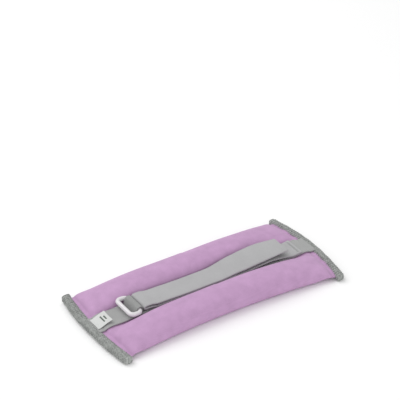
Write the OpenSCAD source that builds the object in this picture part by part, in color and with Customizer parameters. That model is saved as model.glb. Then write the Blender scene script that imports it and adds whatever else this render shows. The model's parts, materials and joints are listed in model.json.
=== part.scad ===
// Ankle cuff weight: a sand-filled fabric pad with bound ends, a centre strip, a rectangular ring
// and a hook-and-loop strap.
// X runs along the pad, from the ring end to the strap end. Y is its width. +Z is up, away from the
// limb, and z = 0 is the underside that lies on the table or against the ankle.
// The pad bends across, so it is built as seven segments on six hinges that lie in the strip.

/* [Pad] */
// Length over the two bound ends, at the middle of the width
cuff_l = 268; // [260:1:276]
// Width of the cover half way along
pad_w = 100; // [92:1:108]
// Extra width of the cover at each bound end
pad_flare = 17; // [8:0.5:18]
// Thickness at the crest of the two filled lobes
pad_t = 24; // [22:0.5:27]
// Thickness of the flat sewn web between the lobes
web_t = 3.2; // [2.8:0.1:3.4]
// How far each end bows out beyond its own corners
end_bow = 5; // [3:0.5:9]
// How high the middle of the strap end arches off the table
arch_right = 2; // [1:0.5:4]
// How high the middle of the ring end arches off the table
arch_left = 1; // [0:0.2:2]

/* [Fabric] */
// Thickness of the foam-backed cover
cover_t = 2; // [1.5:0.1:2.2]
// Thickness of the sand bag cloth
bag_t = 0.6; // [0.5:0.1:0.8]
// Width of the binding tape, folded over each end
binding_w = 9.5; // [8.5:0.5:10]
// Thickness of the binding over both faces
binding_t = 7; // [6.4:0.2:8]
// How far the binding runs past each side of the cover
binding_over = 2.5; // [2:0.5:4]

/* [Webbing] */
// Width of the centre strip and of the strap
web_w = 25; // [22:1:25]
// Thickness of the centre strip
strip_t = 1.5; // [1.2:0.1:1.6]
// Thickness of the strap
strap_t = 1.7; // [1.4:0.1:1.9]
// How much higher the strap's cut end is than the place where the tail leaves the cuff
tail_rise = 1.8; // [1:0.2:6]
// How far the tail bows up between those two places
tail_bow = 1.4; // [1:0.2:4]

/* [Ring] */
// Length of the ring across the cuff
ring_l = 34; // [33.8:0.2:35]
// Width of the ring along the cuff
ring_w = 16; // [15.6:0.2:17]
// Diameter of the ring's bars
ring_bar = 4.6; // [4:0.1:4.6]
// Tilt of the ring at rest
ring_tilt = 2; // [1:1:8]

/* [Wrap] */
// Bend at each hinge when the cuff is wrapped
wrap_deg = 50; // [40:1:50]

/* [Hidden] */
SEG = [-3:3];
seg_l = 40;                         // pitch of the hinges
cut_gap = 0.4;                      // gap between neighbouring segments of the pad
web_gap = 1;                        // gap between neighbouring pieces of strip or strap
gap = 0.15;                         // gap between layers that lie on each other
strip_gap = 0.6;                    // gap between the cover and the centre strip
wedge = wrap_deg / 2 + 0.6;         // slope of the faces that close up under each hinge
end_x = cuff_l / 2;                 // outermost point of each binding
end_t = 3.6;                        // thickness of the cover where it is sewn flat
taper_x = 121;                      // where the filled part ends
cover_stop = 4;                     // depth of the binding beyond the cover's edge
seam_z = 4.2;                       // height of the sewn ends above the table
strip_hw = web_w / 2;
web_hw = strip_hw + 1.5;            // half the width of the sewn web
web_share = 0.375;                  // height of the web's middle, as a share of the crest
tail_x = 40;                        // where the strap's free tail begins
tail_end = 93.5;                    // the strap's cut end
tack_x = 108;                       // the tack that holds the strap
bar_r = ring_bar / 2;
ring_x = -82;                       // the ring's hinge bar
bar_clear = 0.3;                    // clearance between the bar and its loop
loop_t = 1.2;                       // thickness of the loop's webbing
loop_r = bar_r + bar_clear + loop_t;
fold_x = ring_x + loop_r + 0.6;     // the strap's fold, beside the loop
stitch_h = 0.5;                     // height of a bar tack

seg_names = ["left_3", "left_2", "left_1", "center", "right_1", "right_2", "right_3"];
function seg_name(k) = seg_names[k + 3];
function all_of(what, from = -3, to = 3) = [for (k = [from:to]) str(what, "_", seg_name(k))];

// ---- Shape of the pad ----

function mix(a, b, t) = a + (b - a) * t;
function clamp01(t) = min(1, max(0, t));
function ease(a, b, x) = let (t = clamp01((x - a) / (b - a))) t * t * (3 - 2 * t);

// How filled the pad is at x: 1 in the middle, 0 at the sewn ends.
function fullness(x) = pow(max(0, 1 - pow(abs(x) / taper_x, 3)), 0.6);
function crest(x) = end_t + (pad_t - end_t) * fullness(x);
function half_w(x) = pad_w / 2 + pad_flare / 2 * pow(abs(x) / end_x, 2);
function arch_of(x) = x > 0 ? arch_right : arch_left;
// Height of a sewn end's middle layer above the table.
function end_z(x, y) = seam_z + arch_of(x) * max(0, 1 - pow(y / half_w(x), 2));
// How far a point is lifted off the table on the way to the sewn end.
function lift(x, y) = ease(98, taper_x, abs(x)) * (end_z(x, y) - end_t / 2);

// Each lobe runs from the sewn web to the cover's side.
function lobe_mid(x) = (web_hw + half_w(x)) / 2;
function lobe_a(x) = (half_w(x) - web_hw) / 2;
function across_lobe(x, y, d) = (abs(y) - lobe_mid(x)) / (lobe_a(x) - d);
function belly(v, n) = pow(max(0, 1 - pow(abs(v), n)), 0.5);
// Heights of the pad's skin; d is how far inside the skin, and 0 is the outside.
function pad_mid(x) = crest(x) * mix(0.5, web_share, fullness(x));
function web_half(x, y, d) = d == 0 && abs(y) < lobe_mid(x) ? min(web_t, crest(x)) / 2 : 0;
function pad_top(x, y, d) = pad_mid(x) + lift(x, y)
    + max(web_half(x, y, d), (crest(x) - d - pad_mid(x)) * belly(across_lobe(x, y, d), 2.3));
function pad_bottom(x, y, d) = pad_mid(x) + lift(x, y)
    - max(web_half(x, y, d), (pad_mid(x) - d) * min(1, 1.06 * belly(across_lobe(x, y, d), 5)));

function strip_z(x) = pad_top(x, 0, 0) + strip_gap;    // underside of the centre strip
function hinge_x(k) = (k + 0.5) * seg_l;               // hinge between segments k and k + 1
function hinge_z(x) = strip_z(x) + strip_t / 2;

// ---- Sweeping outlines along X ----

// Faces of a closed skin through rings of n points. Each ring runs out and back again, and its ends
// are closed by strips between the two ways. With tip, both ways start at one shared point.
function strip_across(n, i, tip) =
    let (back = function (i) tip ? (n - i) % n : n - 1 - i,
         f = [i, i + 1, back(i + 1), back(i)])
    [for (q = [0:3]) if (f[q] != f[(q + 3) % 4]) f[q]];
function ring_faces(rings, n, tip) =
    let (last = (rings - 1) * n,
         cap = [for (i = [0:(tip ? n / 2 : ceil(n / 2) - 1) - 1]) strip_across(n, i, tip)])
    concat(
        [for (f = cap) [for (i = [len(f) - 1:-1:0]) f[i]]],
        [for (f = cap) [for (i = f) last + i]],
        [for (r = [0:rings - 2], i = [0:n - 1]) let (j = (i + 1) % n)
            each [[r * n + i, (r + 1) * n + j, (r + 1) * n + i],
                  [r * n + i, r * n + j, (r + 1) * n + j]]]);

// X of a segment's end face at height z: a plane that slopes in below the crest, so that the
// undersides just meet when the cuff is wrapped.
function cut_x(k, side, z, d) =
    let (h = hinge_x(side > 0 ? k : k - 1), slope = hinge_z(h) * tan(wedge) / crest(h))
    h - side * (cut_gap / 2 + d + (crest(h) + 0.1 - z) * slope);
// X of the bowed edge of the cover inside the binding.
function edge_x(side, y, d) =
    side * (end_x - end_bow * pow(y / half_w(end_x), 2) - cover_stop - d);
function face_x(k, side, y, z, d) =
    k * side == 3 ? edge_x(side, y, d) : cut_x(k, side, z, d);
function along(k, s, y, z, d) = mix(face_x(k, -1, y, z, d), face_x(k, 1, y, z, d), s);

across = 6;
// One point of segment k's skin: s of its length, and step i of the way across a lobe from the web.
function pad_point(k, s, i, side, top, d) =
    let (skin = top ? function (x, y) pad_top(x, y, d) : function (x, y) pad_bottom(x, y, d),
         x0 = mix(k == -3 ? cover_stop - end_x : hinge_x(k - 1), k == 3 ? end_x - cover_stop : hinge_x(k), s),
         y = side * (lobe_mid(x0) - (lobe_a(x0) - d) * cos(180 * i / across)),
         z = skin(along(k, s, 0, skin(x0, y), d), y))
    [along(k, s, y, z, d), y, z];

// Rounds of points across the whole pad, or across one lobe.
function whole_row(k, s, d) = concat(
    [for (i = [across:-1:0]) pad_point(k, s, i, -1, true, d)],
    [for (i = [0:across]) pad_point(k, s, i, 1, true, d)],
    [for (i = [across - 1:-1:0]) pad_point(k, s, i, 1, false, d)],
    [for (i = [0:across - 1]) pad_point(k, s, i, -1, false, d)]);
function lobe_row(k, s, d, side) = concat(
    [for (i = [0:across]) pad_point(k, s, i, side, true, d)],
    [for (i = [across - 1:-1:1]) pad_point(k, s, i, side, false, d)]);

module pad_solid(k) {
    steps = abs(k) == 3 ? 8 : 2;
    polyhedron([for (r = [0:steps]) each whole_row(k, r / steps, 0)],
        ring_faces(steps + 1, 4 * across + 2, true));
}

// The filled part of one lobe, d inside the skin.
module lobe_solid(k, d, side) {
    steps = abs(k) == 3 ? 3 : 1;
    // In an end segment the filled part stops short of the flat sewn end.
    reach = abs(k) == 3 ? 0.56 - 0.02 * d : 1;
    start = k == -3 ? 1 - reach : 0;
    points = [for (r = [0:steps]) each lobe_row(k, start + reach * r / steps, d, side)];
    faces = ring_faces(steps + 1, 2 * across, true);
    polyhedron(points, side > 0 ? faces : [for (f = faces) [for (i = [len(f) - 1:-1:0]) f[i]]]);
}

// A flat band that follows a height function, cut to one segment's length.
module band(x0, x1, height, t, w, steps) {
    xs = [for (i = [0:steps]) mix(x0, x1, i / steps)];
    outline = concat(
        [for (x = xs) [x, height(x)]],
        [for (i = [steps:-1:0]) [xs[i], height(xs[i]) + t]]);
    translate([0, w / 2, 0])
        rotate([90, 0, 0])
            linear_extrude(w)
                polygon(outline);
}

// ---- Cover, sand bags and sand ----

module cover(k) {
    color("#C6A2C6")
    difference() {
        pad_solid(k);
        lobe_solid(k, cover_t, -1);
        lobe_solid(k, cover_t, 1);
    }
}

bag_d = cover_t + 0.3;              // depth of the sand bags inside the cover

module sand_bag(k) {
    color("#D8D6CE")
    for (side = [-1, 1])
        difference() {
            lobe_solid(k, bag_d, side);
            lobe_solid(k, bag_d + bag_t, side);
        }
}

module sand_fill(k) {
    color("#C2A878")
    for (side = [-1, 1])
        lobe_solid(k, bag_d + bag_t + 0.2, side);
}

// ---- Binding tapes over the ends ----

module binding(side) {
    rows = 10;
    half = half_w(end_x) + binding_over;
    tape = (binding_t - end_t) / 2 - gap;
    // One layer of the folded tape, seen along the end: in over the top, round the edge, back below.
    layer = function (in) let (r = binding_t / 2 - in, nose = binding_w / 2 - in) concat(
        [[-binding_w / 2, r]],
        [for (a = [90:-30:-90]) [nose * cos(a), r * sin(a)]],
        [[-binding_w / 2, -r]]);
    inner = layer(tape);
    profile = concat(layer(0), [for (i = [len(inner) - 1:-1:0]) inner[i]]);
    row = function (y) [for (p = profile)
        [side * (end_x - end_bow * pow(y / half_w(end_x), 2) - binding_w / 2 + p[0]),
         y, end_z(side * end_x, y) + p[1]]];
    color("#969B96")
    polyhedron([for (r = [0:rows]) each row(side * mix(half, -half, r / rows))],
        ring_faces(rows + 1, len(profile), false));
}

// ---- Centre strip and strap ----

function strip_end(k) = k == 3 ? end_x - binding_w - 0.6 : hinge_x(k) - web_gap / 2;
function strip_start(k) = k == -3 ? binding_w + 0.6 - end_x : hinge_x(k - 1) + web_gap / 2;
strip_under = function (x) strip_z(x);

module base_strip(k) {
    color("#A3A3A3")
    band(strip_start(k), strip_end(k), strip_under, strip_t, web_w, abs(k) == 3 ? 8 : 4);
}

// The lower layer of the strap lifts a little between its tack and the middle of the cuff.
lower_lift = 2.5;
// At the fold it lies over the sewn foot of the ring's loop.
over_foot = 2;
function hump(x, a, b) = x < a || x > b ? 0 : pow(sin(180 * (x - a) / (b - a)), 2);
lower_under = function (x)
    strip_z(x) + strip_t + gap + lower_lift * hump(x, tail_x + 2, tack_x - 3) + over_foot * ease(60, 71, -x);
// The upper layer lies on the lower one, and opens towards the fold and towards the tail.
fold_open = 1.6;
tail_open = 3.8;
upper_under = function (x)
    lower_under(x) + strap_t + gap + fold_open * ease(20, 70, -x) + tail_open * ease(8, tail_x, x);

module strap_lower(k) {
    color("#B2B4B2")
    band(strip_start(k), k == 3 ? tack_x + 3 : strip_end(k), lower_under, strap_t, web_w, 5);
}

module strap_upper(k) {
    color("#B2B4B2")
    band(strip_start(k), k == 1 ? tail_x - web_gap / 2 : strip_end(k), upper_under, strap_t, web_w, 4);
}

// The fold: both layers of the ring-end segment and the half turn that joins them.
module strap_fold() {
    x1 = strip_end(-2);
    top = function (x) upper_under(x) + strap_t;
    r = (top(fold_x) - lower_under(fold_x)) / 2;
    arc_x = fold_x + r;
    arc_z = lower_under(arc_x) + r;
    xs = [for (i = [0:3]) mix(x1, arc_x, i / 4)];
    back = [for (i = [3:-1:0]) xs[i]];
    arc = function (r) [for (a = [90:20:270]) [arc_x + r * cos(a), arc_z + r * sin(a)]];
    inner = arc(r - strap_t);
    outline = concat(
        [for (x = xs) [x, top(x)]], arc(r), [for (x = back) [x, lower_under(x)]],
        [for (x = xs) [x, lower_under(x) + strap_t]],
        [for (i = [len(inner) - 1:-1:0]) inner[i]],
        [for (x = back) [x, upper_under(x)]]);
    color("#B2B4B2")
    translate([0, strip_hw, 0])
        rotate([90, 0, 0])
            linear_extrude(web_w)
                polygon(outline);
}

tail_under = function (x) let (t = (x - tail_x) / (tail_end - tail_x))
    upper_under(tail_x) + tail_rise * t + tail_bow * sin(180 * clamp01(t));

module strap_tail() {
    color("#B2B4B2")
    band(tail_x + web_gap / 2, tail_end, tail_under, strap_t, web_w, 8);
}

hook_t = 0.9;
hook_l = 28;
hook_under = function (x) tail_under(x) - hook_t - 0.05;

module hook_patch() {
    color("#8A8C8A")
    band(tail_end - 1.5 - hook_l, tail_end - 1.5, hook_under, hook_t, web_w - 3, 5);
}

module strap_tack() {
    color("#C2C4C2")
    band(tack_x - 1.5, tack_x + 1.5, function (x) lower_under(x) + strap_t + 0.05, stitch_h, web_w - 3, 1);
}

// ---- Ring and its loop ----

ring_z = strip_z(ring_x + loop_r) + strip_t + gap + loop_r;
bar_gap = ring_w - ring_bar;
bend_r = ring_bar;                  // centre line radius of the ring's corners

module ring_bar_y(x) {
    translate([x, ring_l / 2 - bar_r - bend_r, 0])
        rotate([90, 0, 0])
            cylinder(h = ring_l - ring_bar - 2 * bend_r, r = bar_r, $fn = 32);
}

module ring_bar_x(y) {
    translate([-bar_gap + bend_r, y, 0])
        rotate([0, 90, 0])
            cylinder(h = bar_gap - 2 * bend_r, r = bar_r, $fn = 32);
}

module ring_corner(x, y, turn) {
    translate([x, y, 0])
        rotate([0, 0, turn])
            rotate_extrude(angle = 90, $fn = 48)
                translate([bend_r, 0])
                    circle(r = bar_r, $fn = 32);
}

module ring() {
    y0 = ring_l / 2 - bar_r;
    color("#EFECEF")
    translate([ring_x, 0, ring_z])
        rotate([0, ring_tilt, 0])
            union() {
                ring_bar_y(0);
                ring_bar_y(-bar_gap);
                ring_bar_x(y0);
                ring_bar_x(-y0);
                ring_corner(-bend_r, y0 - bend_r, 0);
                ring_corner(bend_r - bar_gap, y0 - bend_r, 90);
                ring_corner(bend_r - bar_gap, bend_r - y0, 180);
                ring_corner(-bend_r, bend_r - y0, 270);
            }
}

loop_w = ring_l - 2 * ring_bar - 2 * bend_r + 2 * bar_r;

foot_l = loop_r + 5;

module ring_loop() {
    color("#9C9E9C")
    translate([ring_x, loop_w / 2, ring_z])
        rotate([90, 0, 0])
            difference() {
                union() {
                    cylinder(h = loop_w, r = loop_r, $fn = 48);
                    // The sewn foot of the loop, flat on the strip and under the strap.
                    translate([0, -loop_r, 0])
                        cube([foot_l, loop_t, loop_w]);
                }
                translate([0, 0, -1])
                    cylinder(h = loop_w + 2, r = bar_r + bar_clear, $fn = 48);
            }
}

module ring_loop_tack() {
    color("#C2C4C2")
    translate([ring_x + foot_l - 2, 2 - loop_w / 2, ring_z - loop_r + loop_t + 0.05])
        cube([1.3, loop_w - 4, stitch_h]);
}

// ---- Label ----

label_x = binding_w + 0.8 - end_x;  // where the label leaves the binding
label_w = 17;
label_l = 13.5;
label_t = 0.8;
label_deg = 20;

module label() {
    color("#D3D5D3")
    translate([label_x, -label_w / 2, strip_z(label_x) + strip_t + 0.4])
        rotate([0, -label_deg, 0])
            cube([label_l, label_w, label_t]);
}

// ---- Drawing ----

for (k = SEG) {
    cover(k);
    sand_bag(k);
    sand_fill(k);
    base_strip(k);
}
for (k = [-1:3])
    strap_lower(k);
for (k = [-1:1])
    strap_upper(k);
strap_fold();
strap_tail();
hook_patch();
ring();
ring_loop();
ring_loop_tack();
strap_tack();
binding(-1);  // binding_left
binding(1);  // binding_right
label();
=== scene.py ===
"""Looks of the ankle cuff weight: padded cover, webbing, bindings, ring, label and stage."""

import json
import math

import bmesh
import bpy
import numpy as np
from mathutils import Matrix, Vector


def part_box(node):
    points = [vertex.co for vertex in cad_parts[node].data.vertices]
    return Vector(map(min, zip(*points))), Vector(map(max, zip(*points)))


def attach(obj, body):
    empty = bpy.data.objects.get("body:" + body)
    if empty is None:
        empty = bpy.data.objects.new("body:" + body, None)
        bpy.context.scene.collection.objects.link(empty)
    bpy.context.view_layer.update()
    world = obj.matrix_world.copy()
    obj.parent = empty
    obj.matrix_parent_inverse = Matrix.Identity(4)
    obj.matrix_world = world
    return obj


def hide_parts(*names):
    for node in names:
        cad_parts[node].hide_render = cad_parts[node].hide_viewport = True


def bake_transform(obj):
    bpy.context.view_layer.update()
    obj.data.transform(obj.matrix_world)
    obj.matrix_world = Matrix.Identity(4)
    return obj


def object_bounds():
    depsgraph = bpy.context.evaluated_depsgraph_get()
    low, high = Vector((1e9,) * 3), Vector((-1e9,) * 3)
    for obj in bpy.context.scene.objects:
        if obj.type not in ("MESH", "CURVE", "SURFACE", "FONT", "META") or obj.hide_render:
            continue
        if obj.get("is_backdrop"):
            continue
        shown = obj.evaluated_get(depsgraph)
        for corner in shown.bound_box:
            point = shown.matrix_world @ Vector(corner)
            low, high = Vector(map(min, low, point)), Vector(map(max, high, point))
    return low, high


bl_info = {
    "name": "Ankle cuff weight",
    "version": (1, 0, 0),
    "blender": (4, 5, 0),
    "location": "3D View > Sidebar > Cuff",
    "description": "Makes the fabric, webbing and trim of an ankle cuff weight round its packed frame",
    "category": "Object",
}

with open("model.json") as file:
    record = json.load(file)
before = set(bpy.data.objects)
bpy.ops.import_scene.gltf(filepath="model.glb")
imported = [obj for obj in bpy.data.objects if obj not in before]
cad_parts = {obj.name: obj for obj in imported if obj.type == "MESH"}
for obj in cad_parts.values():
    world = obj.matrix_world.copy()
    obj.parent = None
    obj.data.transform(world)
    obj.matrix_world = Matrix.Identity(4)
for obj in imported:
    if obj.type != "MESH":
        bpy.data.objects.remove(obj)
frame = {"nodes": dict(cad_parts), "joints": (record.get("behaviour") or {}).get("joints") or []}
CAD_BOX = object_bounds()
MM = 0.001
JOINT = {j["name"]: Vector(j["pos_m"]) for j in frame["joints"]}

# ---- Sizes read from the frame ----

PAD_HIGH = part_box("cover_center")[1].z
PAD_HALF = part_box("cover_center")[1].y
END_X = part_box("binding_right")[1].x
END_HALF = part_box("cover_right_3")[1].y
STRAP_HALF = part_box("strap_lower_center")[1].y
STRIP_T = 1.5 * MM
STRIP_GAP = 0.6 * MM
STRAP_T = 1.7 * MM
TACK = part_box("strap_tack")
TAIL_START = JOINT["strap_peel"].x
TAIL_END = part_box("strap_tail")[1].x
RING_X, RING_Z = JOINT["ring_swing"].x, JOINT["ring_swing"].z
RING_R = 2.3 * MM
LABEL_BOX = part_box("label")
HINGE = [abs(JOINT[n].x) for n in ("wrap", "wrap_right_2", "wrap_right_3")]
PANEL = HINGE[1] - HINGE[0]

# ---- Shape of the pad ----

SEWN_T = 3.6 * MM
TAPER_X = 121 * MM
COVER_STOP = 4 * MM
STRIP_STOP = 6 * MM
END_BOW = 5 * MM
SEAM_Z = 4.2 * MM
ARCH = {1: 2 * MM, -1: 1 * MM}
WEB_HALF = STRAP_HALF + 1.5 * MM
WEB_T = 3.2 * MM
WEB_SHARE = 0.375
TAIL_OPEN = 3.8 * MM
TAIL_RISE = 1.8 * MM
TAIL_BOW = 1.4 * MM
LAYER_GAP = 0.15 * MM
HUMP = 2.5 * MM
OVER_FOOT = 2 * MM
FOLD_OPEN = 1.6 * MM
BACK_LIFT = 2.2 * MM
HOOK_T, HOOK_DROP = 0.9 * MM, 0.95 * MM
LOOP_T = 1.0 * MM
LOOP_NOSE = 4.6 * MM


def mix(a, b, t):
    return a + (b - a) * t


def ease(a, b, x):
    t = min(1.0, max(0.0, (x - a) / (b - a)))
    return t * t * (3 - 2 * t)


def fullness(x):
    return max(0.0, 1 - (abs(x) / TAPER_X) ** 3) ** 0.6


def crest(x):
    return SEWN_T + (PAD_HIGH - SEWN_T) * fullness(x)


def half_width(x):
    return PAD_HALF + (END_HALF - PAD_HALF) * (abs(x) / END_X) ** 2


def end_height(x, y):
    bow = max(0.0, 1 - (y / half_width(x)) ** 2)
    return SEAM_Z + ARCH[1 if x > 0 else -1] * bow


def lift(x, y):
    return ease(98 * MM, TAPER_X, abs(x)) * (end_height(x, y) - SEWN_T / 2)


def belly(v, power):
    return max(0.0, 1 - abs(v) ** power) ** 0.5


def pad_skin(x, y, top):
    """Height of the cover's outside at x and y."""
    middle = crest(x) * mix(0.5, WEB_SHARE, fullness(x))
    lobe_mid = (WEB_HALF + half_width(x)) / 2
    lobe = (half_width(x) - WEB_HALF) / 2
    v = (abs(y) - lobe_mid) / lobe
    web = min(WEB_T, crest(x)) / 2 if abs(y) < lobe_mid else 0.0
    if top:
        return middle + lift(x, y) + max(web, (crest(x) - middle) * belly(v, 2.3))
    return middle + lift(x, y) - max(web, middle * min(1.0, 1.06 * belly(v, 5)))


def edge_bow(side, y):
    return side * (END_X - END_BOW * (y / END_HALF) ** 2)


def strip_height(x):
    """Underside of the centre strip."""
    return pad_skin(x, 0.0, True) + STRIP_GAP


def lower_height(x):
    """Underside of the strap's lower layer."""
    a, b = TAIL_START + 2 * MM, TACK[0].x - 1.5 * MM
    hump = math.sin(math.pi * (x - a) / (b - a)) ** 2 if a < x < b else 0.0
    over_foot = OVER_FOOT * ease(60 * MM, 71 * MM, -x)
    return strip_height(x) + STRIP_T + LAYER_GAP + HUMP * hump + over_foot


def twist(x, y):
    """The strap's back edge lifts before its front edge does."""
    return BACK_LIFT * (y / STRAP_HALF) * ease(0, 50 * MM, x) * (1 - ease(62 * MM, 96 * MM, x))


def upper_height(x, y=0.0):
    """Underside of the strap's upper layer."""
    opening = FOLD_OPEN * ease(20 * MM, 70 * MM, -x) + TAIL_OPEN * ease(8 * MM, 40 * MM, x)
    return lower_height(x) + STRAP_T + LAYER_GAP + opening + twist(x, y)


def tail_height(x, y=0.0):
    t = min(1.0, max(0.0, (x - TAIL_START) / (TAIL_END - TAIL_START)))
    start = upper_height(TAIL_START) + twist(x, y)
    return start + TAIL_RISE * t + TAIL_BOW * math.sin(math.pi * t)


# ---- Mesh helpers ----

STITCH_FILL = 0.8  # share of a stitch's span that its thread fills


def deselect():
    for o in bpy.context.selected_objects:
        o.select_set(False)


def activate(obj):
    deselect()
    obj.select_set(True)
    bpy.context.view_layer.objects.active = obj


def edit(obj, *steps):
    """Runs mesh operators on all of obj; a step is (operator, its settings)."""
    activate(obj)
    bpy.ops.object.mode_set(mode="EDIT")
    bpy.ops.mesh.select_all(action="SELECT")
    for operator, settings in steps:
        operator(**settings)
    bpy.ops.object.mode_set(mode="OBJECT")


def finish_with(obj, kind, **settings):
    """Adds a modifier and applies it."""
    activate(obj)
    modifier = obj.modifiers.new(kind.title(), kind)
    for key, value in settings.items():
        setattr(modifier, key, value)
    bpy.ops.object.modifier_apply(modifier=modifier.name)


def shaped_grid(name, columns, rows, place, merge=0.0):
    """A grid primitive whose point (u, v), each from 0 to 1, goes to place(u, v)."""
    deselect()
    bpy.ops.mesh.primitive_grid_add(x_subdivisions=columns, y_subdivisions=rows, size=1)
    obj = bpy.context.object
    obj.name = obj.data.name = name
    for vertex in obj.data.vertices:
        vertex.co = place(vertex.co.x + 0.5, vertex.co.y + 0.5)
    if merge:
        edit(obj, (bpy.ops.mesh.remove_doubles, {"threshold": merge}))
    edit(obj, (bpy.ops.mesh.normals_make_consistent, {"inside": False}))
    return obj


def smooth(obj, degrees=50):
    activate(obj)
    bpy.ops.object.shade_smooth_by_angle(angle=math.radians(degrees))


def dress(obj, material):
    obj.data.materials.clear()
    obj.data.materials.append(material)


def join_into(obj, parts):
    """Joins parts into obj, which keeps each one's material."""
    deselect()
    for part in parts:
        part.select_set(True)
    obj.select_set(True)
    bpy.context.view_layer.objects.active = obj
    bpy.ops.object.join()


def band_profile(half, thickness):
    """Outline across a woven band: (y, share of thickness) round its two faces and its soft edges."""
    flat = half - thickness * 0.4
    top = [(mix(-flat, flat, i / 12), 1.0) for i in range(13)]
    edge = [(half - thickness * 0.1, 0.86), (half, 0.5), (half - thickness * 0.1, 0.14)]
    return top + edge + [(-y, 1 - t) for y, t in top] + [(-y, 1 - t) for y, t in edge]


def ribbon(name, path, half, thickness, closed=False, inward=False):
    """A woven band on path, a list of (x, height function of y), which its underside follows, or
    its outside when it is built inward."""
    last = len(path) - 1
    outline = band_profile(half, thickness)

    def across(i):
        """Direction of the band's thickness at point i of the path, in X and Z."""
        if closed:
            a, b = path[(i - 1) % last], path[(i + 1) % last]
        else:
            a, b = path[max(0, i - 1)], path[min(last, i + 1)]
        run = Vector((b[0] - a[0], b[1](0.0) - a[1](0.0)))
        side = -1 if inward else 1
        if not closed and i in (0, last):
            return Vector((0, side * math.copysign(1.0, run.x)))
        return side * Vector((-run.y, run.x)).normalized()

    def place(u, v):
        i = round(u * last)
        y, share = outline[round(v * len(outline)) % len(outline)]
        x, height = path[i]
        out = across(i) * share * thickness
        return Vector((x + out.x, y, height(y) + out.y))

    obj = shaped_grid(name, last, len(outline), place, merge=0.004 * MM)
    if not closed:
        edit(obj, (bpy.ops.mesh.fill_holes, {"sides": 0}),
             (bpy.ops.mesh.normals_make_consistent, {"inside": False}))
    smooth(obj)
    return obj


def stitch_row(name, points, radius, material):
    """Running stitches between each pair of points, six-sided bars in one mesh."""
    deselect()
    bpy.ops.mesh.primitive_cylinder_add(vertices=6, radius=1.0, depth=STITCH_FILL)
    first = bpy.context.object
    unit = first.data
    mesh = bmesh.new()
    for a, b in zip(points[::2], points[1::2]):
        part = unit.copy()
        along = b - a
        turn = along.to_track_quat("Z", "Y").to_matrix().to_4x4()
        size = Matrix.Diagonal((radius, radius, along.length, 1))
        part.transform(Matrix.Translation((a + b) / 2) @ turn @ size)
        mesh.from_mesh(part)
        bpy.data.meshes.remove(part)
    bpy.data.objects.remove(first)
    data = bpy.data.meshes.new(name)
    mesh.to_mesh(data)
    mesh.free()
    obj = bpy.data.objects.new(name, data)
    bpy.context.collection.objects.link(obj)
    data.materials.append(material)
    return obj


# ---- Shader node groups ----


def new_group(name, inputs, outputs):
    group = bpy.data.node_groups.new(name, "ShaderNodeTree")
    for label, kind, value in inputs:
        socket = group.interface.new_socket(name=label, in_out="INPUT", socket_type=kind)
        if value is not None:
            socket.default_value = value
    for label, kind in outputs:
        group.interface.new_socket(name=label, in_out="OUTPUT", socket_type=kind)
    return group, group.nodes.new("NodeGroupInput"), group.nodes.new("NodeGroupOutput")


def node(tree, kind, links=(), **settings):
    made = tree.nodes.new(kind)
    for key, value in settings.items():
        setattr(made, key, value)
    for index, source in links:
        tree.links.new(source, made.inputs[index])
    return made


def math_node(tree, operation, *values):
    made = tree.nodes.new("ShaderNodeMath")
    made.operation = operation
    for index, value in enumerate(values):
        if isinstance(value, (int, float)):
            made.inputs[index].default_value = value
        else:
            tree.links.new(value, made.inputs[index])
    return made.outputs[0]


def weave_group():
    """Crossing threads: Along and Across are their counts per metre; gives height, and a mask of painted
    shade in the gaps between threads.
    """
    group, given, out = new_group(
        "Crossed threads",
        [("Vector", "NodeSocketVector", None), ("Along", "NodeSocketFloat", 1500.0),
         ("Across", "NodeSocketFloat", 1500.0)],
        [("Height", "NodeSocketFloat"), ("Gap shade", "NodeSocketFloat")])
    split = node(group, "ShaderNodeSeparateXYZ", [(0, given.outputs["Vector"])])
    turns = 2 * math.pi
    along = math_node(group, "MULTIPLY", split.outputs[0], given.outputs["Along"])
    across = math_node(group, "MULTIPLY", split.outputs[1], given.outputs["Across"])
    a = math_node(group, "MULTIPLY", along, turns)
    b = math_node(group, "MULTIPLY", across, turns)
    crossing = math_node(group, "MULTIPLY", math_node(group, "SINE", a), math_node(group, "SINE", b))
    height = math_node(group, "MULTIPLY_ADD", crossing, 0.5, 0.5)
    ribs = math_node(group, "ABSOLUTE", math_node(group, "SINE", math_node(group, "MULTIPLY", b, 0.5)))
    mixed = math_node(group, "ADD", math_node(group, "MULTIPLY", height, 0.6),
                      math_node(group, "MULTIPLY", ribs, 0.4))
    group.links.new(mixed, out.inputs["Height"])
    # painted shade: the gap mask is one minus the thread height, so the colour darkens where the threads dip
    group.links.new(math_node(group, "SUBTRACT", 1.0, mixed), out.inputs["Gap shade"])
    return group


def fuzz_group():
    """Brushed fibres and slow colour variation over a cloth."""
    group, given, out = new_group(
        "Brushed fibres",
        [("Vector", "NodeSocketVector", None), ("Fibre scale", "NodeSocketFloat", 2500.0),
         ("Patch scale", "NodeSocketFloat", 60.0)],
        [("Fibres", "NodeSocketFloat"), ("Patches", "NodeSocketFloat")])
    fine = node(group, "ShaderNodeTexNoise",
                [(0, given.outputs["Vector"]), (2, given.outputs["Fibre scale"])])
    fine.inputs["Detail"].default_value = 3.0
    broad = node(group, "ShaderNodeTexNoise",
                 [(0, given.outputs["Vector"]), (2, given.outputs["Patch scale"])])
    broad.inputs["Detail"].default_value = 4.0
    group.links.new(fine.outputs[0], out.inputs["Fibres"])
    group.links.new(broad.outputs[0], out.inputs["Patches"])
    return group


def linear(rgb):
    """Linear colour from the 0 to 255 steps of a colour picker."""
    out = []
    for step in rgb:
        c = step / 255
        out.append(c / 12.92 if c <= 0.04045 else ((c + 0.055) / 1.055) ** 2.4)
    return (*out, 1.0)


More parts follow.
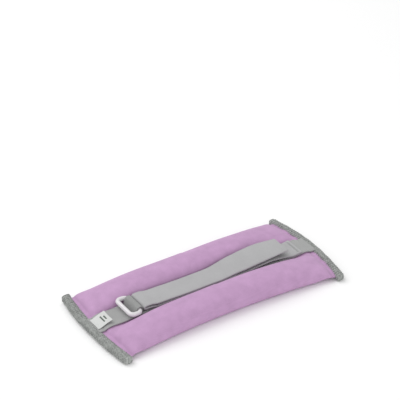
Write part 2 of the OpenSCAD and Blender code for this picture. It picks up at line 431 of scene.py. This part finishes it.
def cloth_material(name, colour, groups, along, across, roughness=0.9, sheen=0.35, depth=0.15,
                   fibre=2500.0, gap_shade_strength=0.12, weave_share=0.7, patch=60.0, mottle=0.16):
    """A woven or knitted cloth: threads and fibres in the bump; painted shade in the gaps between threads,
    and random patches, in the colour.
    """
    material = bpy.data.materials.new(name)
    material.use_nodes = True
    tree = material.node_tree
    shader = tree.nodes["Principled BSDF"]
    where = node(tree, "ShaderNodeTexCoord").outputs["Object"]
    weave = node(tree, "ShaderNodeGroup", node_tree=groups["weave"])
    fuzz = node(tree, "ShaderNodeGroup", node_tree=groups["fuzz"])
    for made in (weave, fuzz):
        tree.links.new(where, made.inputs["Vector"])
    weave.inputs["Along"].default_value = along
    weave.inputs["Across"].default_value = across
    fuzz.inputs["Fibre scale"].default_value = fibre
    fuzz.inputs["Patch scale"].default_value = patch
    # painted shade: the colour darkens in the gaps between threads, where the bump is low
    gap_shade = math_node(tree, "MULTIPLY", weave.outputs["Gap shade"], gap_shade_strength)
    patches = math_node(tree, "MULTIPLY", math_node(tree, "SUBTRACT", fuzz.outputs["Patches"], 0.5), mottle)
    hairs = math_node(tree, "MULTIPLY", math_node(tree, "SUBTRACT", fuzz.outputs["Fibres"], 0.5), 0.22)
    varied = math_node(tree, "ADD", math_node(tree, "ADD", patches, hairs), 1.0)
    # random patches and fibres, less the painted shade in the thread gaps
    light = math_node(tree, "SUBTRACT", varied, gap_shade)
    tint = node(tree, "ShaderNodeMix", data_type="RGBA", blend_type="MULTIPLY")
    tint.inputs[0].default_value = 1.0
    tint.inputs[6].default_value = linear(colour)
    tree.links.new(light, tint.inputs[7])
    tree.links.new(tint.outputs[2], shader.inputs["Base Color"])
    height = math_node(tree, "ADD",
                       math_node(tree, "MULTIPLY", weave.outputs["Height"], weave_share),
                       math_node(tree, "MULTIPLY", fuzz.outputs["Fibres"], 1 - weave_share))
    bump = node(tree, "ShaderNodeBump")
    bump.inputs["Strength"].default_value = 0.5
    bump.inputs["Distance"].default_value = depth * MM
    tree.links.new(height, bump.inputs["Height"])
    tree.links.new(bump.outputs[0], shader.inputs["Normal"])
    rough = math_node(tree, "MULTIPLY_ADD", fuzz.outputs["Fibres"], 0.12, roughness - 0.06)
    tree.links.new(rough, shader.inputs["Roughness"])
    shader.inputs["Sheen Weight"].default_value = sheen
    shader.inputs["Sheen Roughness"].default_value = 0.5
    shader.inputs["Specular IOR Level"].default_value = 0.25
    return material


def plastic_material(name, colour, groups):
    """Glossy moulded plastic with fine scuffs and a slight orange-peel surface."""
    material = bpy.data.materials.new(name)
    material.use_nodes = True
    tree = material.node_tree
    shader = tree.nodes["Principled BSDF"]
    where = node(tree, "ShaderNodeTexCoord").outputs["Object"]
    fuzz = node(tree, "ShaderNodeGroup", node_tree=groups["fuzz"])
    tree.links.new(where, fuzz.inputs["Vector"])
    fuzz.inputs["Fibre scale"].default_value = 900.0
    fuzz.inputs["Patch scale"].default_value = 120.0
    light = math_node(tree, "MULTIPLY_ADD", fuzz.outputs["Patches"], 0.08, 0.96)
    tint = node(tree, "ShaderNodeMix", data_type="RGBA", blend_type="MULTIPLY")
    tint.inputs[0].default_value = 1.0
    tint.inputs[6].default_value = linear(colour)
    tree.links.new(light, tint.inputs[7])
    tree.links.new(tint.outputs[2], shader.inputs["Base Color"])
    bump = node(tree, "ShaderNodeBump")
    bump.inputs["Strength"].default_value = 0.15
    bump.inputs["Distance"].default_value = 0.05 * MM
    tree.links.new(fuzz.outputs["Fibres"], bump.inputs["Height"])
    tree.links.new(bump.outputs[0], shader.inputs["Normal"])
    rough = math_node(tree, "MULTIPLY_ADD", fuzz.outputs["Fibres"], 0.14, 0.18)
    tree.links.new(rough, shader.inputs["Roughness"])
    shader.inputs["Coat Weight"].default_value = 0.3
    shader.inputs["Coat Roughness"].default_value = 0.15
    return material


MATERIALS = {}


def make_materials(colours):
    groups = {"weave": weave_group(), "fuzz": fuzz_group()}
    picks = {key: [round(255 * c) for c in getattr(colours, key)] for key in (
        "cover", "strap", "strip", "binding", "label", "ring")}
    MATERIALS["cover_knit"] = cloth_material(
        "Lilac knit", picks["cover"], groups, 900, 1100, sheen=0.12, depth=0.12, gap_shade_strength=0.1,
        weave_share=0.5, patch=110, mottle=0.3)
    MATERIALS["strap_webbing"] = cloth_material(
        "Brushed strap", picks["strap"], groups, 700, 1400, sheen=0.1, depth=0.2, gap_shade_strength=0.12)
    MATERIALS["strip_webbing"] = cloth_material(
        "Centre strip weave", picks["strip"], groups, 700, 1200, sheen=0.2, depth=0.22, gap_shade_strength=0.2)
    # strong painted shade between the loop's ribs
    MATERIALS["loop_webbing"] = cloth_material(
        "Ribbed loop webbing", [c - 8 for c in picks["strip"]], groups, 500, 700, sheen=0.2, depth=0.35,
        gap_shade_strength=0.45)
    # strong painted shade between the binding's ribs
    MATERIALS["binding_tape"] = cloth_material(
        "Ribbed binding knit", picks["binding"], groups, 350, 350, sheen=0.1, depth=0.5, gap_shade_strength=0.5,
        patch=420, mottle=1.1)
    MATERIALS["label_weave"] = cloth_material(
        "Label satin", picks["label"], groups, 1600, 2200, roughness=0.6, sheen=0.2, depth=0.1, gap_shade_strength=0.1)
    MATERIALS["label_print"] = cloth_material(
        "Label stripe", [92, 102, 94], groups, 1600, 2200, roughness=0.7, sheen=0.1, depth=0.1)
    MATERIALS["thread"] = cloth_material(
        "Grey thread", [178, 180, 178], groups, 3000, 3000, roughness=0.6, sheen=0.3, depth=0.1, gap_shade_strength=0.3)
    MATERIALS["hook_tape"] = cloth_material(
        "Hook tape", [120, 122, 120], groups, 600, 600, roughness=0.7, sheen=0.0, depth=0.5, gap_shade_strength=0.5)
    MATERIALS["bag_cloth"] = cloth_material(
        "Bag lining", [216, 214, 206], groups, 900, 900, depth=0.15)
    MATERIALS["sand"] = cloth_material(
        "Dry sand", [194, 168, 120], groups, 300, 300, sheen=0.0, depth=0.5, fibre=1400, gap_shade_strength=0.1,
        weave_share=0.0)
    MATERIALS["ring_plastic"] = plastic_material("Ring moulding", picks["ring"], groups)


# ---- Settings ----


class CuffColours(bpy.types.PropertyGroup):
    """Colours of the cuff's fabrics and mouldings."""

    cover: bpy.props.FloatVectorProperty(
        name="Cover", description="Lilac knit of the cover", subtype="COLOR_GAMMA",
        default=(0.75, 0.60, 0.75), min=0, max=1)
    strap: bpy.props.FloatVectorProperty(
        name="Strap", description="Brushed loop webbing", subtype="COLOR_GAMMA",
        default=(0.685, 0.688, 0.69), min=0, max=1)
    strip: bpy.props.FloatVectorProperty(
        name="Centre strip", description="Webbing sewn along the middle", subtype="COLOR_GAMMA",
        default=(0.655, 0.658, 0.655), min=0, max=1)
    binding: bpy.props.FloatVectorProperty(
        name="Binding", description="Ribbed tape over the ends", subtype="COLOR_GAMMA",
        default=(0.66, 0.67, 0.66), min=0, max=1)
    label: bpy.props.FloatVectorProperty(
        name="Label", description="Woven flap at the ring end", subtype="COLOR_GAMMA",
        default=(0.81, 0.82, 0.81), min=0, max=1)
    ring: bpy.props.FloatVectorProperty(
        name="Ring", description="Moulded rectangular ring", subtype="COLOR_GAMMA",
        default=(0.85, 0.84, 0.85), min=0, max=1)


class CuffSizes(bpy.types.PropertyGroup):
    """Sizes that set how full and how creased the cuff looks."""

    pressure: bpy.props.FloatProperty(
        name="Fill pressure", description="Pressure of the filling against the cover", default=4.0, min=0)
    swell: bpy.props.FloatProperty(
        name="Largest swell", description="How far the filling may push the cover out",
        default=2.0 * MM, min=0, unit="LENGTH")
    start: bpy.props.FloatProperty(
        name="Slack thickness", description="Share of its full thickness from which the pad swells",
        default=0.95, min=0.5, max=1)
    fill: bpy.props.FloatProperty(
        name="Fill", description="0 is slack and 1 is tight", default=0.75, min=0, max=1)
    rib: bpy.props.FloatProperty(
        name="Binding rib", description="Pitch of the ribs along the binding",
        default=2.8 * MM, min=0.0005, unit="LENGTH")


# ---- Cover ----


def panel_bodies(k):
    """Bodies on the two sides of panel k, which runs from k to k + 1 panel lengths along X."""
    side = "right" if k >= 0 else "left"
    n = k + 1 if k >= 0 else -k
    inner = "pad_center" if n == 1 else f"pad_{side}_{n - 1}"
    return inner, f"pad_{side}_{n}"


def blend_panel(obj, k):
    """Bakes a piece of panel k into its mesh where it stands; the bodies on the panel's two sides are looked
    up but not used.
    """
    inner, outer = panel_bodies(k)
    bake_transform(obj)


def panel_name(k):
    return f"{'right' if k >= 0 else 'left'}_{k + 1 if k >= 0 else -k}"


def panel_of(x):
    return max(-3, min(2, math.floor(x / PANEL)))


PANEL_COLUMNS = 24
WEB_SHARE_OF_COLUMN = 0.2


def cover_columns():
    """X of each column of the cover's mesh: even steps, and finer ones at the sewn ends."""
    inner = [PANEL * i / PANEL_COLUMNS for i in range(3 * PANEL_COLUMNS + 1)]
    stop = END_X - COVER_STOP
    outer = [mix(3 * PANEL, stop, (i + 1) / 8) for i in range(8)]
    half = inner + outer
    return [-x for x in reversed(half[1:])] + half


def cover_shape(settings):
    """The whole cover as one closed skin."""
    columns = cover_columns()
    count = 56
    web_part = WEB_SHARE_OF_COLUMN
    stop = END_X - COVER_STOP

    def place(u, v):
        x0 = columns[round(u * (len(columns) - 1))]
        index = round(v * (2 * count + 1))
        top = index <= count
        q = 2 * (index if top else 2 * count + 1 - index) / count - 1
        lobe_mid = (WEB_HALF + half_width(x0)) / 2
        lobe = (half_width(x0) - WEB_HALF) / 2
        phase = max(0.0, (abs(q) - web_part) / (1 - web_part))
        y = WEB_HALF * q / web_part if abs(q) < web_part else math.copysign(
            lobe_mid - lobe * math.cos(math.pi * phase), q)
        side = 1 if x0 > 0 else -1
        bow = max(0.0, (abs(x0) - HINGE[2]) / (stop - HINGE[2]))
        x = x0 - side * END_BOW * (y / END_HALF) ** 2 * bow
        z = pad_skin(x0, y, top)
        middle = pad_skin(x0, half_width(x0), top)
        if phase > 0:
            z = mix(middle, z, mix(1, settings.start, math.sin(math.pi * phase)))
        return Vector((x, y, z))

    obj = shaped_grid("cover_whole", len(columns) - 1, 2 * count + 1, place, merge=0.02 * MM)
    for face in obj.data.polygons:
        face.material_index = panel_of(face.center.x) + 3
    return obj


SIM_FRAMES = 20
STIFFNESS = {"tension": 12, "compression": 12, "shear": 5, "bending": 0.6}


def swell_cover(obj, settings):
    """Fills the cover by cloth simulation, then limits how far each point has gone."""
    start = np.array([v.co for v in obj.data.vertices])
    held = obj.vertex_groups.new(name="sewn")
    for vertex in obj.data.vertices:
        x, y, _ = vertex.co
        web = 1.0 if abs(y) < WEB_HALF + 0.6 * MM else 0.0
        end = 1.0 if abs(x) > abs(edge_bow(1, y)) - COVER_STOP - 5 * MM else 0.0
        weight = max(web, end)
        if weight > 0:
            held.add([vertex.index], weight, "REPLACE")
    cloth = obj.modifiers.new("Cloth", "CLOTH")
    cloth.settings.quality = 5
    cloth.settings.mass = 0.2
    for kind, value in STIFFNESS.items():
        setattr(cloth.settings, f"{kind}_stiffness", value)
    cloth.settings.vertex_group_mass = held.name
    cloth.settings.use_pressure = True
    cloth.settings.uniform_pressure_force = settings.pressure
    cloth.settings.effector_weights.gravity = 0
    cloth.point_cache.frame_start = 1
    cloth.point_cache.frame_end = SIM_FRAMES
    for step in range(1, SIM_FRAMES + 1):
        bpy.context.scene.frame_set(step)
    activate(obj)
    bpy.ops.object.modifier_apply(modifier=cloth.name)
    bpy.context.scene.frame_set(1)
    moved = np.array([v.co for v in obj.data.vertices]) - start
    length = np.linalg.norm(moved, axis=1, keepdims=True)
    moved *= np.minimum(1, settings.swell / np.maximum(length, 1e-9))
    moved[:, 0] *= 0.5
    for vertex, place in zip(obj.data.vertices, start + moved):
        vertex.co = place


PUCKER = 0.8 * MM
PUCKER_REACH = 24 * MM
DENT = 0.35 * MM
WEB_EDGE = 3 * MM


def crease_cover(obj):
    """Small puckers beside the bindings and shallow dents from the loose sand, both faded out next to the
    web.
    """
    for vertex in obj.data.vertices:
        x, y, z = vertex.co
        side = 1 if x > 0 else -1
        from_end = abs(edge_bow(side, y)) - COVER_STOP - abs(x)
        near_end = max(0.0, 1 - from_end / PUCKER_REACH)
        pucker = PUCKER * near_end ** 2 * math.sin(y / (2.7 * MM) + 1.3 * math.sin(x / (9 * MM)))
        free = 1 - ease(0, 1, max(0.0, (WEB_HALF + WEB_EDGE - abs(y)) / WEB_EDGE))
        dents = DENT * math.sin(x / (17 * MM) + 2 * side) * math.sin(y / (11 * MM) + x / (31 * MM))
        if z > SEAM_Z and abs(y) > WEB_HALF:
            vertex.co.z += (pucker + dents * (1 - near_end)) * free
        vertex.co.z = max(0.05 * MM, vertex.co.z)


class CUFF_OT_cover(bpy.types.Operator):
    """Make the padded cover and cut it into panels, each with one hinge in its middle"""

    bl_idname = "cuff.cover"
    bl_label = "Cover"

    def execute(self, context):
        settings = context.scene.cuff_sizes
        whole = cover_shape(settings)
        swell_cover(whole, settings)
        crease_cover(whole)
        finish_with(whole, "SUBSURF", levels=1, render_levels=1)
        normals = [v.normal.copy() for v in whole.data.vertices]
        panels = np.array([p.material_index for p in whole.data.polygons])
        for k in range(-3, 3):
            obj = whole.copy()
            obj.data = whole.data.copy()
            obj.name = obj.data.name = f"cover_panel_{panel_name(k)}"
            context.collection.objects.link(obj)
            mesh = bmesh.new()
            mesh.from_mesh(obj.data)
            mesh.faces.ensure_lookup_table()
            kept = set()
            for face in mesh.faces:
                if panels[face.index] == k + 3:
                    kept.update(v.index for v in face.verts)
            bmesh.ops.delete(mesh, geom=[f for f in mesh.faces if panels[f.index] != k + 3], context="FACES")
            mesh.to_mesh(obj.data)
            mesh.free()
            order = [normals[i] for i in sorted(kept)]
            for face in obj.data.polygons:
                face.material_index = 0
                face.use_smooth = True
            obj.data.normals_split_custom_set_from_vertices(order)
            dress(obj, MATERIALS["cover_knit"])
            nodes = [f"cover_{panel_name(k)}"] + (["cover_center"] if k in (0, -1) else [])
            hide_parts(*nodes)
            blend_panel(obj, k)
        bpy.data.objects.remove(whole)
        return {"FINISHED"}


# ---- Webbing ----


def steps(x0, x1, pitch=2 * MM):
    count = max(2, round(abs(x1 - x0) / pitch))
    return [mix(x0, x1, i / count) for i in range(count + 1)]


def flat_path(x0, x1, height, pitch=2 * MM):
    """Path for a ribbon that lies at height(x)."""
    return [(x, (lambda y, x=x: height(x))) for x in steps(x0, x1, pitch)]


def turned_path(x0, x1, height, pitch=2 * MM):
    """Path for a ribbon whose height depends on x and y."""
    return [(x, (lambda y, x=x: height(x, y))) for x in steps(x0, x1, pitch)]


def edge_stitches(name, x0, x1, height, inset, material, pitch=3.2 * MM):
    """Two rows of running stitches along a band's edges."""
    points = []
    for side in (-1, 1):
        y = side * (STRAP_HALF - inset)
        count = int((x1 - x0) / pitch)
        for i in range(count):
            a = x0 + (i + 0.2) * pitch
            b = a + 0.62 * pitch
            points += [Vector((a, y, height(a))), Vector((b, y, height(b)))]
    return stitch_row(name, points, 0.22 * MM, material)


class CUFF_OT_centre_strip(bpy.types.Operator):
    """Lay the centre strip on the web, with its two rows of stitches"""

    bl_idname = "cuff.centre_strip"
    bl_label = "Centre strip"

    def execute(self, context):
        ends = -END_X + STRIP_STOP, END_X - STRIP_STOP
        for k in range(-3, 3):
            x0 = ends[0] if k == -3 else k * PANEL
            x1 = ends[1] if k == 2 else (k + 1) * PANEL
            obj = ribbon(f"centre_strip_{panel_name(k)}", flat_path(x0, x1, strip_height),
                         STRAP_HALF, STRIP_T)
            dress(obj, MATERIALS["strip_webbing"])
            seams = edge_stitches("seam", x0, x1, lambda x: strip_height(x) + STRIP_T, 1.6 * MM,
                                  MATERIALS["thread"])
            join_into(obj, [seams])
            nodes = [f"base_strip_{panel_name(k)}"] + (["base_strip_center"] if k in (0, -1) else [])
            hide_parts(*nodes)
            blend_panel(obj, k)
        return {"FINISHED"}


def fold_path():
    """Centre line of the strap from the lower layer round the fold to the upper one."""
    x_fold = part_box("strap_fold")[0].x
    start = -PANEL
    low = [(x, lower_height(x)) for x in steps(start, x_fold + 3.4 * MM)]
    top_z = upper_height(x_fold + 3.4 * MM) + STRAP_T
    radius = (top_z - low[-1][1]) / 2
    centre = (x_fold + radius, low[-1][1] + radius)
    arc = [(centre[0] - radius * math.sin(a), centre[1] - radius * math.cos(a))
           for a in (math.pi * i / 12 for i in range(1, 12))]
    high = [(x, upper_height(x) + STRAP_T) for x in reversed(steps(start, x_fold + 3.4 * MM))]
    return low + arc + high


class CUFF_OT_strap(bpy.types.Operator):
    """Lay the strap: lower layer, fold, upper layer, free tail and hook tape"""

    bl_idname = "cuff.strap"
    bl_label = "Strap"

    def execute(self, context):
        cloth = MATERIALS["strap_webbing"]
        tack_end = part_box("strap_lower_right_3")[1].x
        for k, x1 in ((-1, 0.0), (0, PANEL), (1, 2 * PANEL), (2, tack_end)):
            obj = ribbon(f"strap_under_{panel_name(k)}", flat_path(k * PANEL, x1, lower_height),
                         STRAP_HALF, STRAP_T)
            dress(obj, cloth)
            nodes = [f"strap_lower_{panel_name(k)}"] + (["strap_lower_center"] if k in (0, -1) else [])
            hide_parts(*nodes)
            blend_panel(obj, k)
        for k in (-1, 0):
            obj = ribbon(f"strap_over_{panel_name(k)}",
                         turned_path(k * PANEL, (k + 1) * PANEL, upper_height), STRAP_HALF, STRAP_T)
            dress(obj, cloth)
            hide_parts(f"strap_upper_{panel_name(k)}", "strap_upper_center")
            blend_panel(obj, k)
        fold = ribbon("strap_fold_cloth", [(x, (lambda y, z=z: z)) for x, z in fold_path()],
                      STRAP_HALF, STRAP_T, inward=True)
        dress(fold, cloth)
        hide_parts("strap_fold")
        blend_panel(fold, -2)
        tail = ribbon("strap_tail_cloth", turned_path(TAIL_START, TAIL_END, tail_height),
                      STRAP_HALF, STRAP_T)
        dress(tail, cloth)
        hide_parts("strap_tail")
        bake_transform(tail)
        low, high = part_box("hook_patch")
        hook = ribbon("hook_tape", turned_path(low.x, high.x, lambda x, y: tail_height(x, y) - HOOK_DROP),
                      high.y, HOOK_T)
        dress(hook, MATERIALS["hook_tape"])
        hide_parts("hook_patch")
        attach(hook, "strap_end")
        return {"FINISHED"}


def zigzag(name, x, half, height, width, material, pitch=1.1 * MM):
    """A bar tack: close zigzag stitches across a band."""
    points = []
    count = int(2 * half / pitch)
    for i in range(count):
        y = -half + (i + 0.5) * pitch
        a, b = (x - width, x + width) if i % 2 else (x + width, x - width)
        points += [Vector((a, y - pitch / 2, height(a))), Vector((b, y + pitch / 2, height(b)))]
    return stitch_row(name, points, 0.26 * MM, material)


class CUFF_OT_tacks(bpy.types.Operator):
    """Sew the bar tacks of the strap and of the ring's loop"""

    bl_idname = "cuff.tacks"
    bl_label = "Bar tacks"

    def execute(self, context):
        thread = MATERIALS["thread"]
        low, high = TACK
        tack = zigzag("strap_bar_tack", (low.x + high.x) / 2, high.y,
                      lambda x: lower_height(x) + STRAP_T + 0.1 * MM, 1.3 * MM, thread)
        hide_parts("strap_tack")
        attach(tack, "pad_right_3")
        low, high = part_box("ring_loop_tack")
        tack = zigzag("loop_bar_tack", (low.x + high.x) / 2, high.y,
                      lambda x: low.z + 0.2 * MM, 0.5 * MM, thread)
        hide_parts("ring_loop_tack")
        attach(tack, "pad_left_2")
        return {"FINISHED"}


# ---- Ring, its loop and the label ----


def loop_path():
    """Closed centre line of the loop: round the ring's bar and down to a fold on the centre strip."""
    radius = RING_R + 0.9 * MM
    floor = strip_height(RING_X) + STRIP_T + 0.6 * MM
    nose = RING_X - LOOP_NOSE
    arc = [(RING_X + radius * math.sin(a), RING_Z + radius * math.cos(a))
           for a in (math.radians(d) for d in range(-50, 171, 20))]
    back = [(RING_X - 2 * MM, floor), (nose + 1 * MM, floor - 0.25 * MM)]
    tip = [(nose, floor + 0.35 * MM), (nose + 0.6 * MM, floor + 1.1 * MM)]
    return arc + back + tip


class CUFF_OT_ring(bpy.types.Operator):
    """Finish the ring and wrap the webbing loop round its bar"""

    bl_idname = "cuff.ring"
    bl_label = "Ring and loop"

    def execute(self, context):
        ring = frame["nodes"]["ring"]
        ring.data.materials.clear()
        ring.data.materials.append(MATERIALS["ring_plastic"])
        path = loop_path()
        path.append(path[0])
        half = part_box("ring_loop")[1].y + 1.4 * MM
        loop = ribbon("loop_webbing", [(x, (lambda y, z=z: z)) for x, z in path], half, LOOP_T, closed=True)
        dress(loop, MATERIALS["loop_webbing"])
        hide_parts("ring_loop")
        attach(loop, "pad_left_2")
        return {"FINISHED"}


LABEL_TUCK = 3 * MM  # how far the label runs on towards the binding, behind its hinge


class CUFF_OT_label(bpy.types.Operator):
    """Make the woven label with its plain stripes"""

    bl_idname = "cuff.label"
    bl_label = "Label"

    def execute(self, context):
        low, high = LABEL_BOX
        start = JOINT["label_flip"]
        rise = high.z - low.z - 0.8 * MM

        def height(x, y):
            t = (x - low.x) / (high.x - low.x)
            return start.z + rise * max(0.0, t) ** 0.8 + 0.5 * MM * (y / high.y) ** 2 * t

        tucked = low.x - LABEL_TUCK
        obj = ribbon("label_flap", turned_path(tucked, high.x, height, 0.8 * MM), high.y, 0.7 * MM)
        dress(obj, MATERIALS["label_weave"])
        middle = mix(low.x, high.x, 0.55)
        stripes = []
        for x, reach in ((middle - 0.8 * MM, 0.55), (middle + 2.2 * MM, 0.35)):
            stripe = ribbon("stripe", turned_path(
                x - 0.7 * MM, x + 0.7 * MM, lambda x, y: height(x, y) + 0.68 * MM, 0.5 * MM),
                high.y * reach, 0.12 * MM)
            stripe.data.materials.clear()
            stripe.data.materials.append(MATERIALS["label_print"])
            stripes.append(stripe)
        join_into(obj, stripes)
        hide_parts("label")
        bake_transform(obj)
        return {"FINISHED"}


# ---- Bindings ----

BINDING_W = {-1: 8.6 * MM, 1: 7.8 * MM}
BINDING_TALL = 6.6 * MM
RIB_DEPTH = 0.42 * MM
TIP_ROUND = 0.9 * MM
KNOT_REACH = 7 * MM
SEAM_IN = 8.3 * MM
SEAM_STITCHES = 34
SEAM_UP = 2.3 * MM


def binding_shape(side, settings):
    """The rolled tape over one end: a ribbed sleeve that swells and closes at both ends."""
    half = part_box("binding_right" if side > 0 else "binding_left")[1].y
    width = BINDING_W[side]

    def place(u, v):
        y = mix(-half, half, u)
        from_tip = min(half - y, y + half)
        closing = math.sqrt(max(0.0, 1 - max(0.0, 1 - from_tip / TIP_ROUND) ** 5))
        knot = 1 + 0.07 * max(0.0, 1 - from_tip / KNOT_REACH)
        a = 2 * math.pi * v
        slant = 0.9 * math.sin(a) + 0.5 * math.sin(y / (17 * MM) + side)
        rib = RIB_DEPTH * (1 - 2 * abs(math.sin(math.pi * y / settings.rib + slant)) ** 3)
        wander = 0.25 * MM * math.sin(y / (13 * MM) + side) + 0.2 * MM * math.sin(y / (2.9 * MM))
        across = math.copysign(abs(math.cos(a)) ** 0.7, math.cos(a)) * (width / 2 + rib + wander)
        up = math.copysign(abs(math.sin(a)) ** 0.75, math.sin(a)) * (BINDING_TALL / 2 + rib)
        centre_x = edge_bow(side, y) - side * width / 2
        centre_z = end_height(side * END_X, y)
        z = centre_z + up * closing * knot
        return Vector((centre_x + across * closing * knot, y, max(0.1 * MM, z)))

    obj = shaped_grid(f"binding_tape_{'right' if side > 0 else 'left'}", 420, 28, place, merge=0.02 * MM)
    smooth(obj, 80)
    return obj


def binding_seam(side, material):
    """Stitches through the binding, on its pad side."""
    points = []
    half = END_HALF - 3 * MM
    for i in range(SEAM_STITCHES):
        for share in (0.15, 0.8):
            y = mix(-half, half, (i + share) / SEAM_STITCHES)
            x = edge_bow(side, y) - side * SEAM_IN
            points.append(Vector((x, y, end_height(side * END_X, y) + SEAM_UP)))
    return stitch_row("binding_seam", points, 0.25 * MM, material)


class CUFF_OT_bindings(bpy.types.Operator):
    """Roll the ribbed tapes over the two ends"""

    bl_idname = "cuff.bindings"
    bl_label = "Bindings"

    def execute(self, context):
        settings = context.scene.cuff_sizes
        for side, name in ((-1, "left"), (1, "right")):
            obj = binding_shape(side, settings)
            dress(obj, MATERIALS["binding_tape"])
            join_into(obj, [binding_seam(side, MATERIALS["thread"])])
            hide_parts(f"binding_{name}")
            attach(obj, f"pad_{name}_3")
        return {"FINISHED"}


class CUFF_OT_filling(bpy.types.Operator):
    """Finish the sand bags and the sand inside the cover"""

    bl_idname = "cuff.filling"
    bl_label = "Sand bags"

    def execute(self, context):
        for name, obj in frame["nodes"].items():
            for start, material in (("sand_bag", "bag_cloth"), ("sand_fill", "sand")):
                if name.startswith(start):
                    obj.data.materials.clear()
                    obj.data.materials.append(MATERIALS[material])
        return {"FINISHED"}


# ---- Stage ----


AZIMUTH, ELEVATION = math.radians(-33.16), math.radians(35.45)
DISTANCE = 1.8
AIM_ABOVE, AIM_BESIDE = 0.0873, 0.0042  # how far from the cuff the camera aims, in metres at its distance
WORLD_STRENGTH = 0.74
FLOOR_GREY = 0.95
LIGHTS = (("Key", (-0.5, 0.9, 1.5), 1.4, 15.0), ("Fill", (-0.2, -1.5, 0.45), 1.2, 5.0))


def camera_matrix():
    """The camera stands to the front left of the cuff and looks down at it, aimed a little off its middle."""
    target = Vector((0, 0, 4.5 * MM))
    ahead = Vector((-math.sin(AZIMUTH), math.cos(AZIMUTH), 0))
    place = target - DISTANCE * (ahead * math.cos(ELEVATION) - Vector((0, 0, math.sin(ELEVATION))))
    pitch = ELEVATION - math.atan(AIM_ABOVE / DISTANCE)
    yaw = math.atan(AIM_BESIDE / DISTANCE)
    forward = ahead * math.cos(pitch) - Vector((0, 0, math.sin(pitch)))
    right = Vector((ahead.y, -ahead.x, 0))
    forward, right = (forward * math.cos(yaw) - right * math.sin(yaw),
                      right * math.cos(yaw) + forward * math.sin(yaw))
    up = right.cross(forward)
    turn = Matrix((right, up, -forward)).transposed().to_4x4()
    return Matrix.Translation(place) @ turn


class CUFF_OT_stage(bpy.types.Operator):
    """Set up the floor, the lights and the camera"""

    bl_idname = "cuff.stage"
    bl_label = "Stage"

    def execute(self, context):
        scene = context.scene
        data = bpy.data.cameras.new("Camera")
        data.sensor_width = 36
        data.lens = 162
        camera = bpy.data.objects.new("Camera", data)
        camera.matrix_world = camera_matrix()
        scene.collection.objects.link(camera)
        scene.camera = camera
        deselect()
        bpy.ops.mesh.primitive_plane_add(size=6)
        floor = bpy.context.object
        floor.name = "floor"
        material = bpy.data.materials.new("Floor")
        material.use_nodes = True
        shader = material.node_tree.nodes["Principled BSDF"]
        shader.inputs["Base Color"].default_value = (FLOOR_GREY, FLOOR_GREY, FLOOR_GREY, 1)
        shader.inputs["Roughness"].default_value = 0.9
        shader.inputs["Specular IOR Level"].default_value = 0.1
        floor.data.materials.append(material)
        floor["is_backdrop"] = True
        world = bpy.data.worlds.new("World")
        world.use_nodes = True
        world.node_tree.nodes["Background"].inputs[0].default_value = (1, 1, 1, 1)
        world.node_tree.nodes["Background"].inputs[1].default_value = WORLD_STRENGTH
        scene.world = world
        scene.view_settings.view_transform = "Standard"
        for name, place, size, power in LIGHTS:
            light = bpy.data.lights.new(name, "AREA")
            light.energy = power
            light.size = size
            lamp = bpy.data.objects.new(name, light)
            lamp.matrix_world = Matrix.Translation(place) @ (
                -Vector(place)).to_track_quat("-Z", "Y").to_matrix().to_4x4()
            scene.collection.objects.link(lamp)
        return {"FINISHED"}


class CUFF_OT_materials(bpy.types.Operator):
    """Make the fabrics, the thread and the plastic"""

    bl_idname = "cuff.materials"
    bl_label = "Materials"

    def execute(self, context):
        make_materials(context.scene.cuff_colours)
        return {"FINISHED"}


ORDER = ("stage", "materials", "filling", "cover", "centre_strip",
         "strap", "tacks", "ring", "label", "bindings")


class CUFF_PT_panel(bpy.types.Panel):
    """Lists the cuff's pieces"""

    bl_label = "Ankle cuff"
    bl_idname = "CUFF_PT_panel"
    bl_space_type = "VIEW_3D"
    bl_region_type = "UI"
    bl_category = "Cuff"

    def draw(self, context):
        for group in (context.scene.cuff_sizes, context.scene.cuff_colours):
            for name in group.__annotations__:
                self.layout.prop(group, name)
        for name in ORDER:
            self.layout.operator(f"cuff.{name}")


CLASSES = (CuffColours, CuffSizes, CUFF_OT_stage, CUFF_OT_materials, CUFF_OT_filling, CUFF_OT_cover,
           CUFF_OT_centre_strip, CUFF_OT_strap, CUFF_OT_tacks, CUFF_OT_ring, CUFF_OT_label,
           CUFF_OT_bindings, CUFF_PT_panel)


def register():
    for cls in CLASSES:
        bpy.utils.register_class(cls)
    bpy.types.Scene.cuff_colours = bpy.props.PointerProperty(type=CuffColours)
    bpy.types.Scene.cuff_sizes = bpy.props.PointerProperty(type=CuffSizes)


def unregister():
    del bpy.types.Scene.cuff_sizes
    del bpy.types.Scene.cuff_colours
    for cls in reversed(CLASSES):
        bpy.utils.unregister_class(cls)


def main():
    register()
    for name in ORDER:
        getattr(bpy.ops.cuff, name)()
    corners = {"cad": CAD_BOX, "visual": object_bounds()}
    {key: [list(map(float, corner)) for corner in box] for key, box in corners.items()}


if __name__ == "__main__":
    main()
